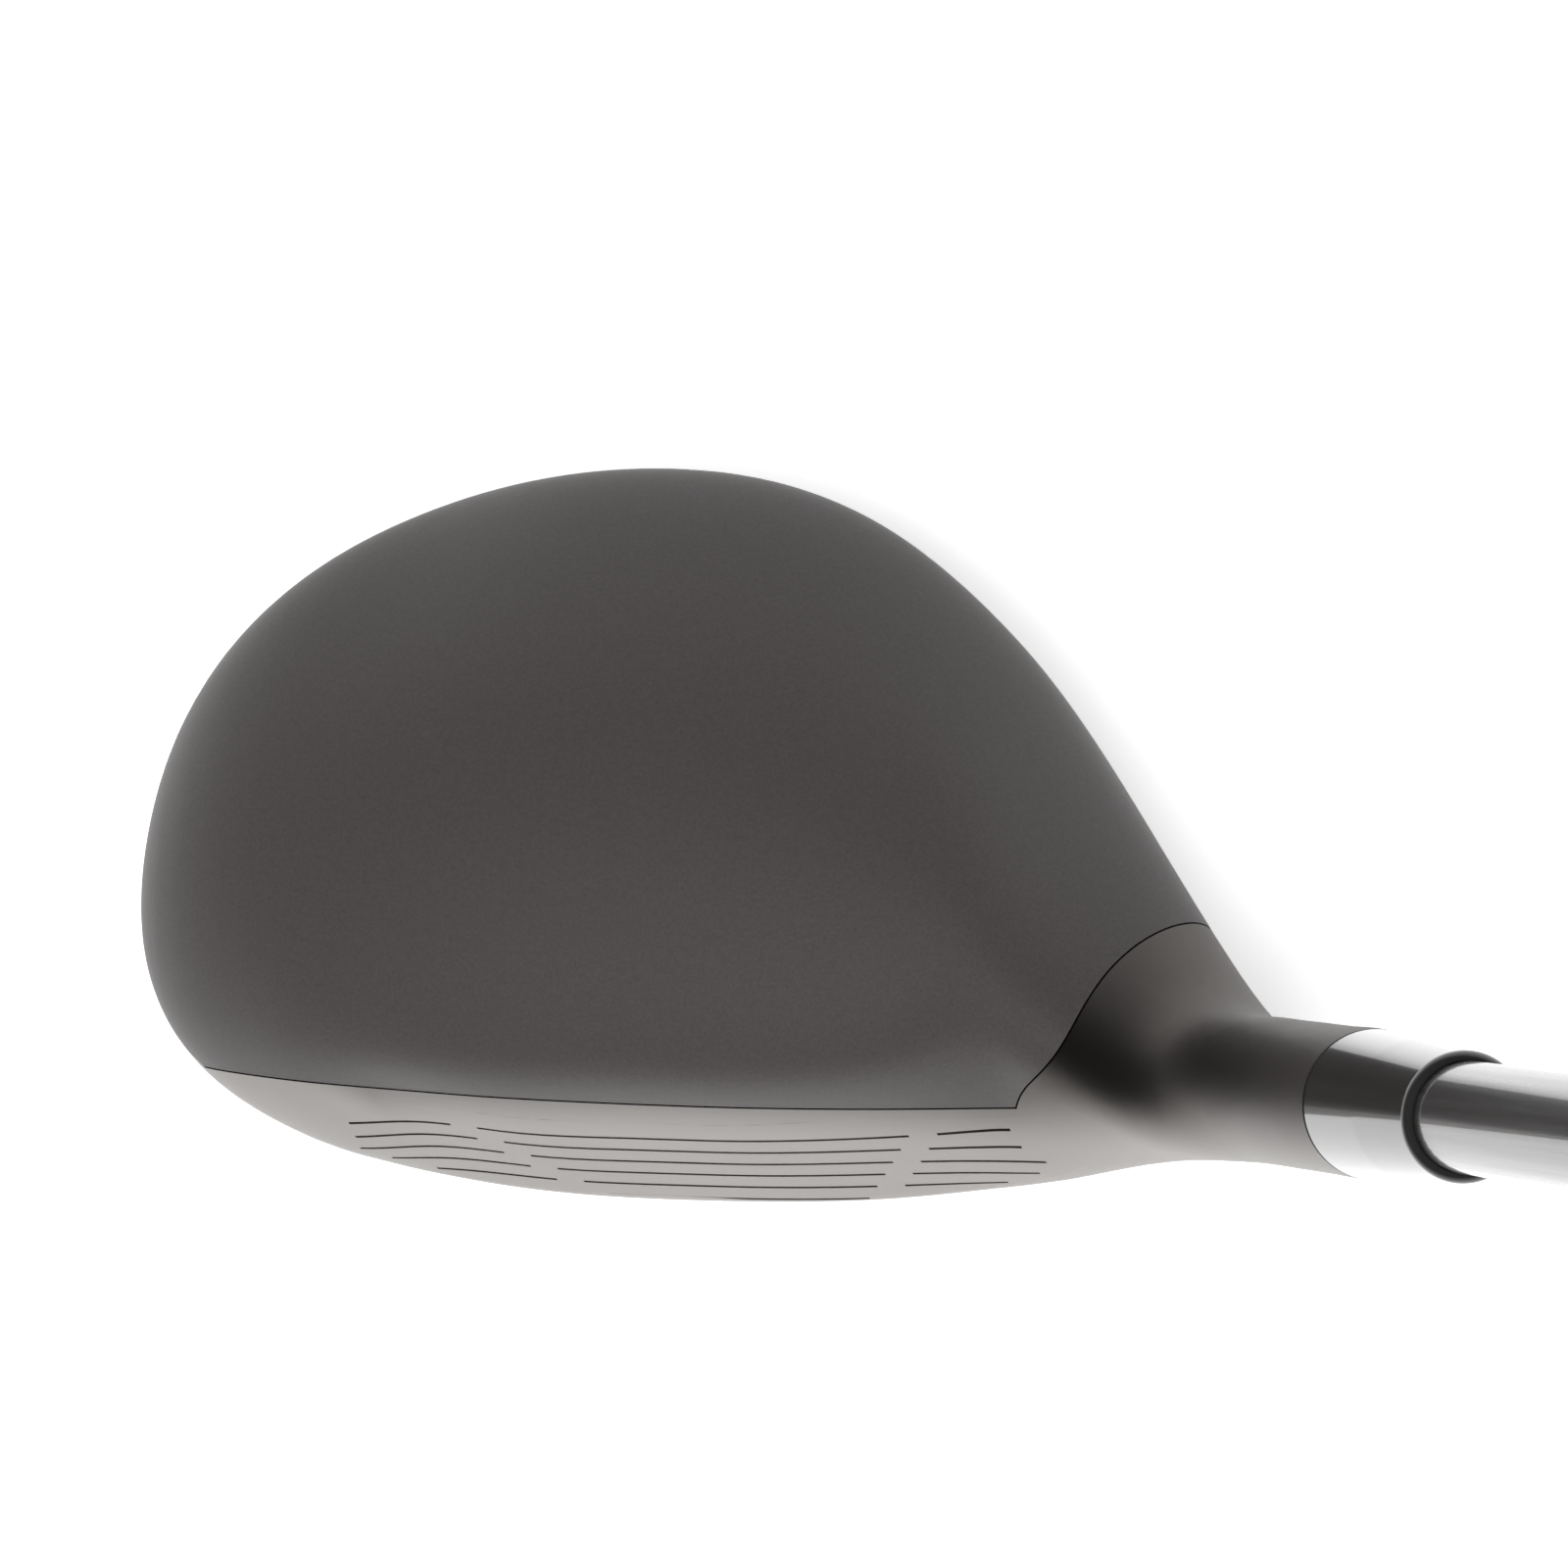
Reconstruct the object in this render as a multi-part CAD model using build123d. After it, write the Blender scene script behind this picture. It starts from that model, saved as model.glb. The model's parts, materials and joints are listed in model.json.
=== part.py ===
"""Fairway wood, right-handed, standing at address on its sole.

Millimetres. +X runs from toe to heel, +Y from the face to the back of the head, +Z up.
The origin is on the ground, in the small flat pad of the sole that the head rests on,
level with the middle of the face. The shaft leaves the heel at the lie angle, in a plane
of constant Y, and ends in the grip.
"""
from build123d import *
import math
import os

# ---------------------------------------------------------------- driving dimensions
# head outline
LOFT_ANGLE = 20.5            # face leans back from vertical, degrees
LIE_ANGLE = 58.5             # shaft above the ground, degrees
FACE_SETBACK = 18.0          # face centre in front of the origin
FACE_MID_Z = 17.0            # height of the face centre
HEAD_DEPTH = 67.2            # leading edge to trailing edge
CROWN_HEIGHT = 36.5          # ground to the highest point of the crown
LEAD_OFFSET = 4.2            # leading edge in front of the face centre
APEX_X = -7.0                # where the head is deepest
TOE_LENGTH = 48.2            # apex to the tip of the toe
TOE_Y = 22.8                 # toe tip behind the face centre
TOE_Z = 17.0                 # height of the toe tip
SOLE_DROP = 0.2              # how far the full sole curve reaches under the rest pad

# hosel and neck
AXIS_GROUND_X = 35.4         # where the shaft axis meets the ground
AXIS_Y = 8.9                 # shaft axis behind the face centre
HOSEL_WALL = 1.6             # metal round the bore at the rim
HOSEL_TOP_Z = 55.0           # middle of the hosel's rim
SPINE_Z = 15.0               # height of the line that carries the head's sections
BEND_LENGTH = 46.0           # travel over which that line turns up into the hosel
BORE_DEPTH = 32.0
BORE_BACKING = 3.0           # metal under the bore's floor
RIM_CHAMFER = 0.25

# walls
WALL = 2.3
CROWN_THICKNESS = 1.0
BOND_THICKNESS = 0.25
SEAM_GAP = 0.15              # open line between the crown's edge and the body
LEDGE_WIDTH = 3.6            # how far the body's ledge reaches under the crown
CAVITY_TRAVEL = 1.55         # how far the hollow runs into the neck
FACE_THICKNESS = 2.0

# crown edge
SEAM_FRONT_Y = 5.5           # seam along the topline, behind the face centre
SEAM_FRONT_BOW = 700.0       # radius of that line, seen from above
SEAM_SIDE_Z = 20.0           # seam height where it starts down the sides
SEAM_BACK_Z = 10.0           # seam height around the back
SEAM_TURN_Y = 7.0            # where the side seam starts to fall, behind the face centre
SEAM_LEVEL_Y = 32.0          # where it levels out
SEAM_TOE_X = -28.0           # where the seam starts to fall towards the toe
SEAM_TOE_Z = 12.0
SEAM_TOE_FALL = 0.2          # how fast that toe edge drops towards the back
SEAM_TOE_REACH = 7.0         # that edge's curve ends this far past the toe
SEAM_TOE_EASE = 13.0         # length of the curve's straight starts
NECK_BALL_X = 47.2           # the crown stops at the neck on a ball around this point
NECK_BALL_Y = 4.8            # behind the face centre
NECK_BALL_Z = 17.9
NECK_BALL_RADIUS = 18.5
NECK_CLEARANCE = 5.6         # the crown also keeps this far from the hosel's own round
REGION_END_X = 46.0          # the crown lies wholly on the toe side of this

# score lines
LINE_PITCH = 3.45
LINE_WIDTH = 0.5
LINE_DEPTH = 0.3
LINE_TOP_Z = 21.1
LINE_GAP = 2.6               # bare metal between neighbouring groups
LINE_TOE_ENDS = [-34.0, -34.4, -35.0, -33.0, -29.7]
LINE_HEEL_ENDS = [28.2, 28.5, 30.0, 28.6, 24.8]
LINE_TOP_HALF = 20.3         # half length of the topmost centre line
LINE_BOTTOM_HALF = 12.4
LINE_CENTRE_X = -1.4         # middle of the centre lines
CENTRE_LINES = 6

# face plate outline, across and up the face from its centre
PLATE_OUTLINE = [
    (0.0, -13.7), (-22.0, -12.9), (-35.5, -8.2), (-38.5, -0.5), (-33.0, 6.0), (-14.0, 8.6),
    (10.0, 8.8), (28.0, 7.2), (34.6, 2.0), (31.5, -6.5), (20.0, -12.5),
]

PLATE_CUT_BACK = 2.7         # how far the plate's opening goes past the wall
PLATE_CUT_FRONT = 12.0       # and how far it starts in front of the loft plane
PLATE_RIM = 0.8              # body metal left between the plate and the crown's seam

# sole weight
WEIGHT_Y = 42.0              # port axis behind the face centre
WEIGHT_X = -4.0
WEIGHT_HEAD_RADIUS = 7.0
WEIGHT_HEAD_HEIGHT = 3.2
WEIGHT_SHANK_RADIUS = 3.0
WEIGHT_SHANK_LENGTH = 6.0
THREAD_CLEARANCE = 0.05
PORT_CLEARANCE = 0.15
PORT_WALL = 1.6
PORT_OVERSHOOT = 4.0         # how far the port's cutters start outside the sole
PORT_FLOOR = 1.4
BOSS_WALL = 2.0
WEIGHT_RECESS = 0.5          # head face under the sole's surface
SEAL_THICKNESS = 0.6
SEAL_SETBACK = 0.4           # seal rim inside the rim of the head
DRIVE_RADIUS = 2.6           # across the corners of the hexagon socket
DRIVE_DEPTH = 2.0

# inner weights
SLUG_LENGTH = 30.0
SLUG_DEPTH = 6.0
SLUG_GAP = 1.05              # between the port's cup and the slug
SLUG_TOP_Z = 12.5
HOT_MELT_RADIUS = 9.0
HOT_MELT_X = -27.0
HOT_MELT_Y = 17.0
HOT_MELT_TOP_Z = 6.0

# ferrule
FERRULE_LENGTH = 23.2
FERRULE_TOP_WALL = 0.81
FERRULE_SWELL = 0.08         # how much its sides stand out in the middle
FERRULE_ROUND = 0.9
FERRULE_ROUND_SHARE = 0.9    # the round takes at most this share of the top wall
FERRULE_CLEARANCE = 0.04

# shaft
CLUB_LENGTH = 1060.0         # ground to grip cap along the shaft axis
TIP_RADIUS = 4.7
TIP_LACQUER = 0.05           # coat that is ground off where the tip is glued
LACQUER_EDGE = 1.0           # length over which the coat fades out, above the ferrule
TIP_PARALLEL = 150.0         # parallel tip above the hosel rim
BUTT_RADIUS = 7.62
TIP_WALL = 1.9
BUTT_WALL = 1.1
GLUE_GAP = 0.15              # epoxy between the bare tip and the bore
GLUE_FLOOR = 0.6             # epoxy under the shaft's tip
PLUG_LENGTH = 18.0
PLUG_CLEARANCE = 0.03

# grip
GRIP_LENGTH = 267.0
GRIP_TAPE = 0.15
GRIP_MOUTH_RADIUS = 9.9
GRIP_MOUTH_ROUND = 1.0
GRIP_BUTT_RADIUS = 12.9
TAPE_SETBACK = 4.0           # tape ends this far inside the grip's mouth
GRIP_CAP_RADIUS = 13.7
GRIP_CAP_HEIGHT = 5.0
GRIP_CAP_ROUND = 2.0
VENT_RADIUS = 1.5

# ---------------------------------------------------------------- shape of the head
# Closed outline of the middle section past the face, as shares of the depth and height:
# topline, crown, trailing edge and sole, in that order.
CROWN_AND_SOLE = [
    (0.198, 0.955), (0.316, 1.005), (0.510, 0.995), (0.703, 0.877), (0.867, 0.674),
    (0.983, 0.479), (1.025, 0.330), (0.963, 0.227), (0.808, 0.137), (0.600, 0.050),
    (0.390, 0.003), (0.240, 0.0), (0.115, 0.005), (0.032, 0.018),
]
# Heel side, by travel: 0 at the apex, 1 where the neck starts to turn up, 2 where it
# joins the straight hosel, 3 at the hosel rim. Then how much of the head's back, front,
# top and bottom is left over the hosel's own radius, and how far the topline leans back,
# as a share of the height.
HEEL_STATIONS = [
    (0.00, 1.000, 1.000, 1.000, 1.000, 0.00),
    (0.37, 0.977, 0.970, 0.993, 0.988, 0.00),
    (0.74, 0.899, 0.873, 0.954, 0.942, 0.03),
    (1.06, 0.751, 0.687, 0.854, 0.872, 0.17),
    (1.19, 0.625, 0.552, 0.762, 0.837, 0.31),
    (1.32, 0.459, 0.388, 0.629, 0.802, 0.27),
    (1.45, 0.254, 0.231, 0.457, 0.744, 0.16),
    (1.59, 0.061, 0.112, 0.265, 0.558, 0.06),
    (1.72, 0.002, 0.045, 0.106, 0.291, 0.01),
    (1.85, 0.000, 0.015, 0.020, 0.093, 0.00),
    (2.00, 0.000, 0.000, 0.000, 0.000, 0.00),
    (2.20, 0.000, 0.000, 0.000, 0.000, 0.00),
    (2.45, 0.000, 0.000, 0.000, 0.000, 0.00),
    (2.70, 0.000, 0.000, 0.000, 0.000, 0.00),
    (3.00, 0.000, 0.000, 0.000, 0.000, 0.00),
]
TOE_ANGLES = [88.9, 86, 82, 77, 71, 64, 56, 47, 37, 26, 14]
POINTS_PER_SPAN = 2
RING_START = -126.0          # where the hosel's round starts, just under the sole's front
TOE_ROUNDING = 0.8           # how far the toe tip's section goes over to an oval
TOE_ROUND_START = 0.37       # travel, as a share of the toe's length, where that begins
HEEL_ROUND_START = 0.88      # travel where the heel's sections start to turn round
HEEL_ROUND_END = 1.91
TOE_POWERS = (2.6, 2.1, 2.2, 2.3)     # fullness of the toe: front, back, top and bottom
TOE_LEAN = 0.17              # how far the toe's topline leans back, as a share of its height
TOE_LEAN_START = 0.3         # share of the toe's length where that begins
TOE_LEAN_END = 0.75

BARE_RADIUS = TIP_RADIUS - TIP_LACQUER
BORE_RADIUS = BARE_RADIUS + GLUE_GAP
HOSEL_RADIUS = BORE_RADIUS + HOSEL_WALL
FERRULE_BORE = BARE_RADIUS + FERRULE_CLEARANCE
FERRULE_TOP_RADIUS = FERRULE_BORE + FERRULE_TOP_WALL

lie = math.radians(LIE_ANGLE)
face_slope = math.tan(math.radians(LOFT_ANGLE))
AXIS = Vector(math.cos(lie), 0, math.sin(lie))


def smooth(share):
    share = max(0.0, min(1.0, share))
    return share * share * (3 - 2 * share)


def quadrant(share, power):
    """Height of a superellipse quadrant over its own axis."""
    return (1 - min(1.0, share) ** power) ** (1 / power)


def spline_point(polygon, where):
    """Point on the closed uniform cubic B-spline of a control polygon."""
    count = len(polygon)
    first = math.floor(where)
    t = where - first
    weights = (
        (1 - t) ** 3 / 6,
        (3 * t ** 3 - 6 * t * t + 4) / 6,
        (-3 * t ** 3 + 3 * t * t + 3 * t + 1) / 6,
        t ** 3 / 6,
    )
    corners = [polygon[(first + k - 1) % count] for k in range(4)]
    across = sum(w * c[0] for w, c in zip(weights, corners))
    up = sum(w * c[1] for w, c in zip(weights, corners))
    return across, up


def unit_polygon(polygon):
    """Scale a control polygon so that its curve just fills the unit square."""
    steps = 8 * len(polygon)
    curve = [spline_point(polygon, k / 8) for k in range(steps)]
    low_a = min(p[0] for p in curve)
    low_b = min(p[1] for p in curve)
    span_a = max(p[0] for p in curve) - low_a
    span_b = max(p[1] for p in curve) - low_b
    return [((p[0] - low_a) / span_a, (p[1] - low_b) / span_b) for p in polygon]


def head_polygon():
    """Control polygon of the middle section: the flat face, then crown and sole."""
    face_heights = [2.2, 6.4, 12.0, 19.0, 26.0, 32.0]
    push = [-0.30, -0.02, 0.0, 0.0, 0.05, 0.55]
    face = [((z - FACE_MID_Z) * face_slope + p, z) for z, p in zip(face_heights, push)]
    rest = [(a * HEAD_DEPTH - LEAD_OFFSET, b * CROWN_HEIGHT) for a, b in CROWN_AND_SOLE]
    return face + rest


HEAD_UNIT = unit_polygon(head_polygon())
SPANS = len(HEAD_UNIT)
RING_ANGLES = [math.radians(RING_START - 360 * k / SPANS) for k in range(SPANS)]
RING_UNIT = unit_polygon([(math.cos(a), math.sin(a)) for a in RING_ANGLES])


def bend_tilt(share):
    return lie * smooth(share)


def bend_advance(share):
    """X and Z gained along the turning line, from its start to a share of its length."""
    steps = 60
    step = share / steps
    middles = [(k + 0.5) * step for k in range(steps)]
    along = sum(math.cos(bend_tilt(m)) for m in middles) * step * BEND_LENGTH
    up = sum(math.sin(bend_tilt(m)) for m in middles) * step * BEND_LENGTH
    return along, up


bend_along, bend_up = bend_advance(1.0)
bend_end_z = SPINE_Z + bend_up
bend_start_x = AXIS_GROUND_X + bend_end_z / math.tan(lie) - bend_along
hosel_top = HOSEL_TOP_Z / math.sin(lie)
bend_end = bend_end_z / math.sin(lie)


def axis_point(distance):
    """Point on the shaft axis, by distance from the ground."""
    x = AXIS_GROUND_X + distance * math.cos(lie)
    return Vector(x, AXIS_Y - FACE_SETBACK, distance * math.sin(lie))


def section_frame(travel):
    """X, Z and tilt of the section plane at a travel along the head."""
    if travel <= 0:
        return APEX_X + travel * TOE_LENGTH, SPINE_Z, 0.0
    if travel <= 1:
        return APEX_X + travel * (bend_start_x - APEX_X), SPINE_Z, 0.0
    if travel <= 2:
        along, up = bend_advance(travel - 1)
        return bend_start_x + along, SPINE_Z + up, bend_tilt(travel - 1)
    distance = bend_end + (travel - 2) * (hosel_top - bend_end)
    return AXIS_GROUND_X + distance * math.cos(lie), distance * math.sin(lie), lie


def heel_shares(travel):
    """Smooth interpolation of the heel stations: four shares and the lean."""
    rows = HEEL_STATIONS
    i = max(k for k in range(len(rows) - 1) if rows[k][0] <= travel or k == 0)
    gap = rows[i + 1][0] - rows[i][0]
    t = min(1.0, (travel - rows[i][0]) / gap)
    shares = []
    for c in range(1, len(rows[0])):
        slopes = []
        for k in (i, i + 1):
            before = rows[max(k - 1, 0)]
            after = rows[min(k + 1, len(rows) - 1)]
            slopes.append((after[c] - before[c]) / (after[0] - before[0]) * gap)
        bump = slopes[0] * (t ** 3 - 2 * t * t + t) + slopes[1] * (t ** 3 - t * t)
        ease = t * t * (3 - 2 * t)
        shares.append(rows[i][c] * (1 - ease) + rows[i + 1][c] * ease + bump)
    return shares


def section_extents(travel):
    """Front, back, top and bottom of a section, front and back from the face centre."""
    front = -LEAD_OFFSET
    back = HEAD_DEPTH - LEAD_OFFSET
    if travel < 0:
        front_part, back_part, top_part, bottom_part = [quadrant(-travel, p) for p in TOE_POWERS]
        return (
            TOE_Y - (TOE_Y - front) * front_part,
            TOE_Y + (back - TOE_Y) * back_part,
            TOE_Z - SPINE_Z + (CROWN_HEIGHT - TOE_Z) * top_part,
            SPINE_Z - TOE_Z + (TOE_Z + SOLE_DROP) * bottom_part,
        )
    back_share, front_share, top_share, bottom_share, _ = heel_shares(travel)
    hosel_back = AXIS_Y + HOSEL_RADIUS
    hosel_front = AXIS_Y - HOSEL_RADIUS
    return (
        hosel_front + (front - hosel_front) * front_share,
        hosel_back + (back - hosel_back) * back_share,
        HOSEL_RADIUS + (CROWN_HEIGHT - SPINE_Z - HOSEL_RADIUS) * top_share,
        HOSEL_RADIUS + (SPINE_Z + SOLE_DROP - HOSEL_RADIUS) * bottom_share,
    )


def section_polygon(travel):
    """Unit control polygon at a travel: wood-shaped, going over to a ring at the hosel."""
    if travel < 0:
        ring = TOE_ROUNDING * smooth((-travel - TOE_ROUND_START) / (1 - TOE_ROUND_START))
    else:
        ring = smooth((travel - HEEL_ROUND_START) / (HEEL_ROUND_END - HEEL_ROUND_START))
    mixed = [
        ((1 - ring) * h[0] + ring * r[0], (1 - ring) * h[1] + ring * r[1])
        for h, r in zip(HEAD_UNIT, RING_UNIT)
    ]
    return unit_polygon(mixed)


def face_lean(travel):
    """How far the topline leans back past the loft, as a share of the section's height."""
    if travel < 0:
        return TOE_LEAN * smooth((-travel - TOE_LEAN_START) / (TOE_LEAN_END - TOE_LEAN_START))
    return heel_shares(travel)[-1]


def section_points(travel):
    """Points around the outer surface at a travel."""
    polygon = section_polygon(travel)
    front, back, top, bottom = section_extents(travel)
    x, z, tilt = section_frame(travel)
    lean = face_lean(travel) * (top + bottom)
    points = []
    for k in range(SPANS * POINTS_PER_SPAN):
        across, up = spline_point(polygon, k / POINTS_PER_SPAN)
        y = front + across * (back - front) + lean * (up * (1 - across)) ** 2
        rise = up * (top + bottom) - bottom
        points.append(Vector(x - rise * math.sin(tilt), y - FACE_SETBACK, z + rise * math.cos(tilt)))
    return points


def inset_points(travel, inset):
    """The same points moved straight into the wall by inset."""
    here = section_points(travel)
    if inset == 0:
        return here
    step = 1e-4
    sign = -1 if travel > 2.99 else 1
    beside = section_points(travel + sign * step)
    count = len(here)
    moved = []
    for k in range(count):
        around = here[(k + 1) % count] - here[k - 1]
        along = (beside[k] - here[k]) * sign
        moved.append(here[k] - along.cross(around).normalized() * inset)
    return moved


def flatten(points, origin, normal):
    return [p - normal * (p - origin).dot(normal) for p in points]


def ring_wire(points):
    """Closed smooth curve, run the way round that makes the loft's faces look outward.

    Every ring shares the same even parameters, so the loft needs few poles.
    """
    steps = [float(k) for k in range(len(points) + 1)]
    return Wire([Edge.make_spline(points[::-1], periodic=True, parameters=steps)])


def skin(inset, last_travel=3.0):
    """Closed solid of the head and neck, everywhere inset by the same distance."""
    travels = [-math.sin(math.radians(a)) for a in TOE_ANGLES]
    travels += [row[0] for row in HEEL_STATIONS if row[0] < last_travel - 0.02] + [last_travel]
    rings = [inset_points(t, inset) for t in travels]
    toe = sum(rings[0], Vector(0, 0, 0)) / len(rings[0])
    rings[0] = flatten(rings[0], toe, Vector(1, 0, 0))
    x, z, tilt = section_frame(last_travel)
    end = Vector(x, 0, z)
    rings[-1] = flatten(rings[-1], end, Vector(math.cos(tilt), 0, math.sin(tilt)))
    return Solid.make_loft([ring_wire(r) for r in rings])


def axis_plane(distance):
    """Plane square to the shaft axis, by distance from the ground."""
    return Plane(origin=axis_point(distance), x_dir=(0, 1, 0), z_dir=AXIS)


def rod(radius, start, end):
    """Cylinder on the shaft axis between two distances from the ground."""
    return axis_plane(start) * Cylinder(radius, end - start, align=(Align.CENTER, Align.CENTER, Align.MIN))


def turned(profile):
    """Solid turned about the shaft axis from (distance, radius) corners."""
    start = profile[0][0]
    corners = [(radius, distance - start) for distance, radius in profile]
    face = make_face(Plane.XZ * Polyline(*corners, close=True))
    return axis_plane(start) * revolve(face, Axis.Z)


# ---------------------------------------------------------------- head
def seam_region(grow):
    """Space over the crown's edge, pulled in all round by grow."""
    far = 200.0
    high = SEAM_SIDE_Z + grow
    low = SEAM_BACK_Z + grow
    y0 = SEAM_TURN_Y - FACE_SETBACK + grow
    y1 = SEAM_LEVEL_Y - FACE_SETBACK + grow
    reach = 0.5 * (y1 - y0)
    side = Polyline((y1, low), (far, low), (far, far), (-far, far), (-far, high), (y0, high))
    fall = Bezier((y0, high), (y0 + reach, high), (y1 - reach, low), (y1, low))
    back = extrude(Plane.YZ.offset(-far) * make_face(side + fall), far + REGION_END_X)

    x0 = SEAM_TOE_X
    x1 = APEX_X - TOE_LENGTH - SEAM_TOE_REACH
    toe_low = SEAM_TOE_Z + grow
    front = Polyline((x1, toe_low), (-far, toe_low), (-far, far), (REGION_END_X, far),
                     (REGION_END_X, high), (x0, high))
    dip = Bezier((x0, high), (x0 - SEAM_TOE_EASE, high),
                 (x1 + SEAM_TOE_EASE, toe_low + SEAM_TOE_EASE), (x1, toe_low))
    base = Plane.XZ.offset(FACE_SETBACK - SEAM_TURN_Y) * make_face(front + dip)
    toe = extrude(base, far, dir=(0, 1, -SEAM_TOE_FALL)) + extrude(base, far, dir=(0, -1, SEAM_TOE_FALL))

    line_y = SEAM_FRONT_Y - FACE_SETBACK + grow
    face_side = Pos(0, line_y + SEAM_FRONT_BOW, 0) * Cylinder(SEAM_FRONT_BOW, 2 * far)
    neck_centre = Pos(NECK_BALL_X, NECK_BALL_Y - FACE_SETBACK, NECK_BALL_Z)
    neck = neck_centre * Sphere(NECK_BALL_RADIUS + grow)
    neck += rod(HOSEL_RADIUS + NECK_CLEARANCE + grow, 0, far)
    return (back + toe) & face_side - neck


face_plane = Plane(
    origin=(0, -FACE_SETBACK, FACE_MID_Z),
    x_dir=(1, 0, 0),
    z_dir=(0, -math.cos(math.radians(LOFT_ANGLE)), math.sin(math.radians(LOFT_ANGLE))),
)


def plate_region():
    """The plate's outline carried level from behind the wall to in front of the face."""
    outline = make_face(Spline(*PLATE_OUTLINE, periodic=True))
    back = WALL + PLATE_CUT_BACK
    start = Pos(0, back, 0) * (face_plane * outline)
    return extrude(start, back + PLATE_CUT_FRONT, dir=(0, -1, 0))


def line_spans():
    """Start, end and row of every score line: centre, toe and heel groups."""
    spans = []
    for row in range(CENTRE_LINES):
        share = row / (CENTRE_LINES - 1)
        half = LINE_TOP_HALF + (LINE_BOTTOM_HALF - LINE_TOP_HALF) * share
        left = LINE_CENTRE_X - half
        right = LINE_CENTRE_X + half
        spans.append((left, right, row))
        if row < len(LINE_TOE_ENDS):
            spans.append((LINE_TOE_ENDS[row], left - LINE_GAP, row))
            spans.append((right + LINE_GAP, LINE_HEEL_ENDS[row], row))
    return spans


def line_bars():
    """One bar through the face for every score line."""
    top = (LINE_TOP_Z - FACE_MID_Z) / math.cos(math.radians(LOFT_ANGLE))
    through = 16.0
    bars = []
    for start, end, row in line_spans():
        bar = Box(end - start, LINE_WIDTH, through)
        bars.append(face_plane * Pos((start + end) / 2, top - row * LINE_PITCH, 0) * bar)
    return Part() + bars


def sole_plane():
    """Plane on the sole at the weight port, its Z pointing into the head."""
    points = section_points((WEIGHT_X - APEX_X) / (bend_start_x - APEX_X))
    low = [p for p in points if p.Z < SPINE_Z]
    low.sort(key=lambda p: abs(p.Y - (WEIGHT_Y - FACE_SETBACK)))
    near, far = sorted(low[:2], key=lambda p: p.Y)
    share = (WEIGHT_Y - FACE_SETBACK - near.Y) / (far.Y - near.Y)
    spot = near + (far - near) * share
    slope = (far - near).normalized()
    return Plane(origin=spot, x_dir=(1, 0, 0), z_dir=Vector(1, 0, 0).cross(slope))


def disc(plane, radius, start, end):
    return plane.offset(start) * Cylinder(radius, end - start, align=(Align.CENTER, Align.CENTER, Align.MIN))


ground = Pos(0, 0, -50) * Box(400, 400, 100)
outer = skin(0) - ground
under_crown = skin(CROWN_THICKNESS)
under_bond = skin(CROWN_THICKNESS + BOND_THICKNESS)
hollow = skin(WALL, CAVITY_TRAVEL)
bore_floor = hosel_top - BORE_DEPTH
hosel_tube = rod(HOSEL_RADIUS, bore_floor - BORE_BACKING, hosel_top)
cavity = hollow - hosel_tube

crown_cut = seam_region(0)
crown_space = seam_region(SEAM_GAP)
opening = seam_region(LEDGE_WIDTH)
plate_space = plate_region() - seam_region(-PLATE_RIM)

crown_shell = (outer - under_crown) & crown_space
crown_bond = ((under_crown - under_bond) & crown_space) - opening
face_plate = (outer - skin(FACE_THICKNESS)) & plate_space
face_plate -= line_bars() - skin(LINE_DEPTH)

port = sole_plane()
head_start = WEIGHT_RECESS
seal_start = head_start + WEIGHT_HEAD_HEIGHT
pocket_end = seal_start + SEAL_THICKNESS
shank_end = seal_start + WEIGHT_SHANK_LENGTH
pocket_radius = WEIGHT_HEAD_RADIUS + PORT_CLEARANCE
port_radius = pocket_radius + PORT_WALL
thread_radius = WEIGHT_SHANK_RADIUS + THREAD_CLEARANCE
port_hole = disc(port, port_radius, -PORT_OVERSHOOT, pocket_end + PORT_FLOOR)

body = outer - cavity - (crown_cut - under_bond) - opening - plate_space - port_hole
body -= rod(BORE_RADIUS, bore_floor, hosel_top + 1.0)
rim = turned([(hosel_top - RIM_CHAMFER, HOSEL_RADIUS), (hosel_top, HOSEL_RADIUS - RIM_CHAMFER),
              (hosel_top + 1.0, HOSEL_RADIUS - RIM_CHAMFER), (hosel_top + 1.0, HOSEL_RADIUS + 2.0),
              (hosel_top - RIM_CHAMFER, HOSEL_RADIUS + 2.0)])
head_body = body - rim

# ---------------------------------------------------------------- sole weight
port_cup = port_hole & outer
port_cup += disc(port, thread_radius + BOSS_WALL, pocket_end, shank_end + PORT_FLOOR)
port_cup -= disc(port, pocket_radius, -PORT_OVERSHOOT, pocket_end)
port_cup -= disc(port, thread_radius, 0.0, shank_end + PORT_FLOOR + 1.0)

sole_weight_screw = disc(port, WEIGHT_HEAD_RADIUS, head_start, seal_start)
sole_weight_screw += disc(port, WEIGHT_SHANK_RADIUS, seal_start, shank_end)
socket = extrude(port.offset(head_start) * RegularPolygon(DRIVE_RADIUS, 6), DRIVE_DEPTH)
sole_weight_screw -= socket

weight_seal_ring = disc(port, WEIGHT_HEAD_RADIUS - SEAL_SETBACK, seal_start, pocket_end)
weight_seal_ring -= disc(port, thread_radius, seal_start - 1.0, pocket_end + 1.0)

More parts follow.
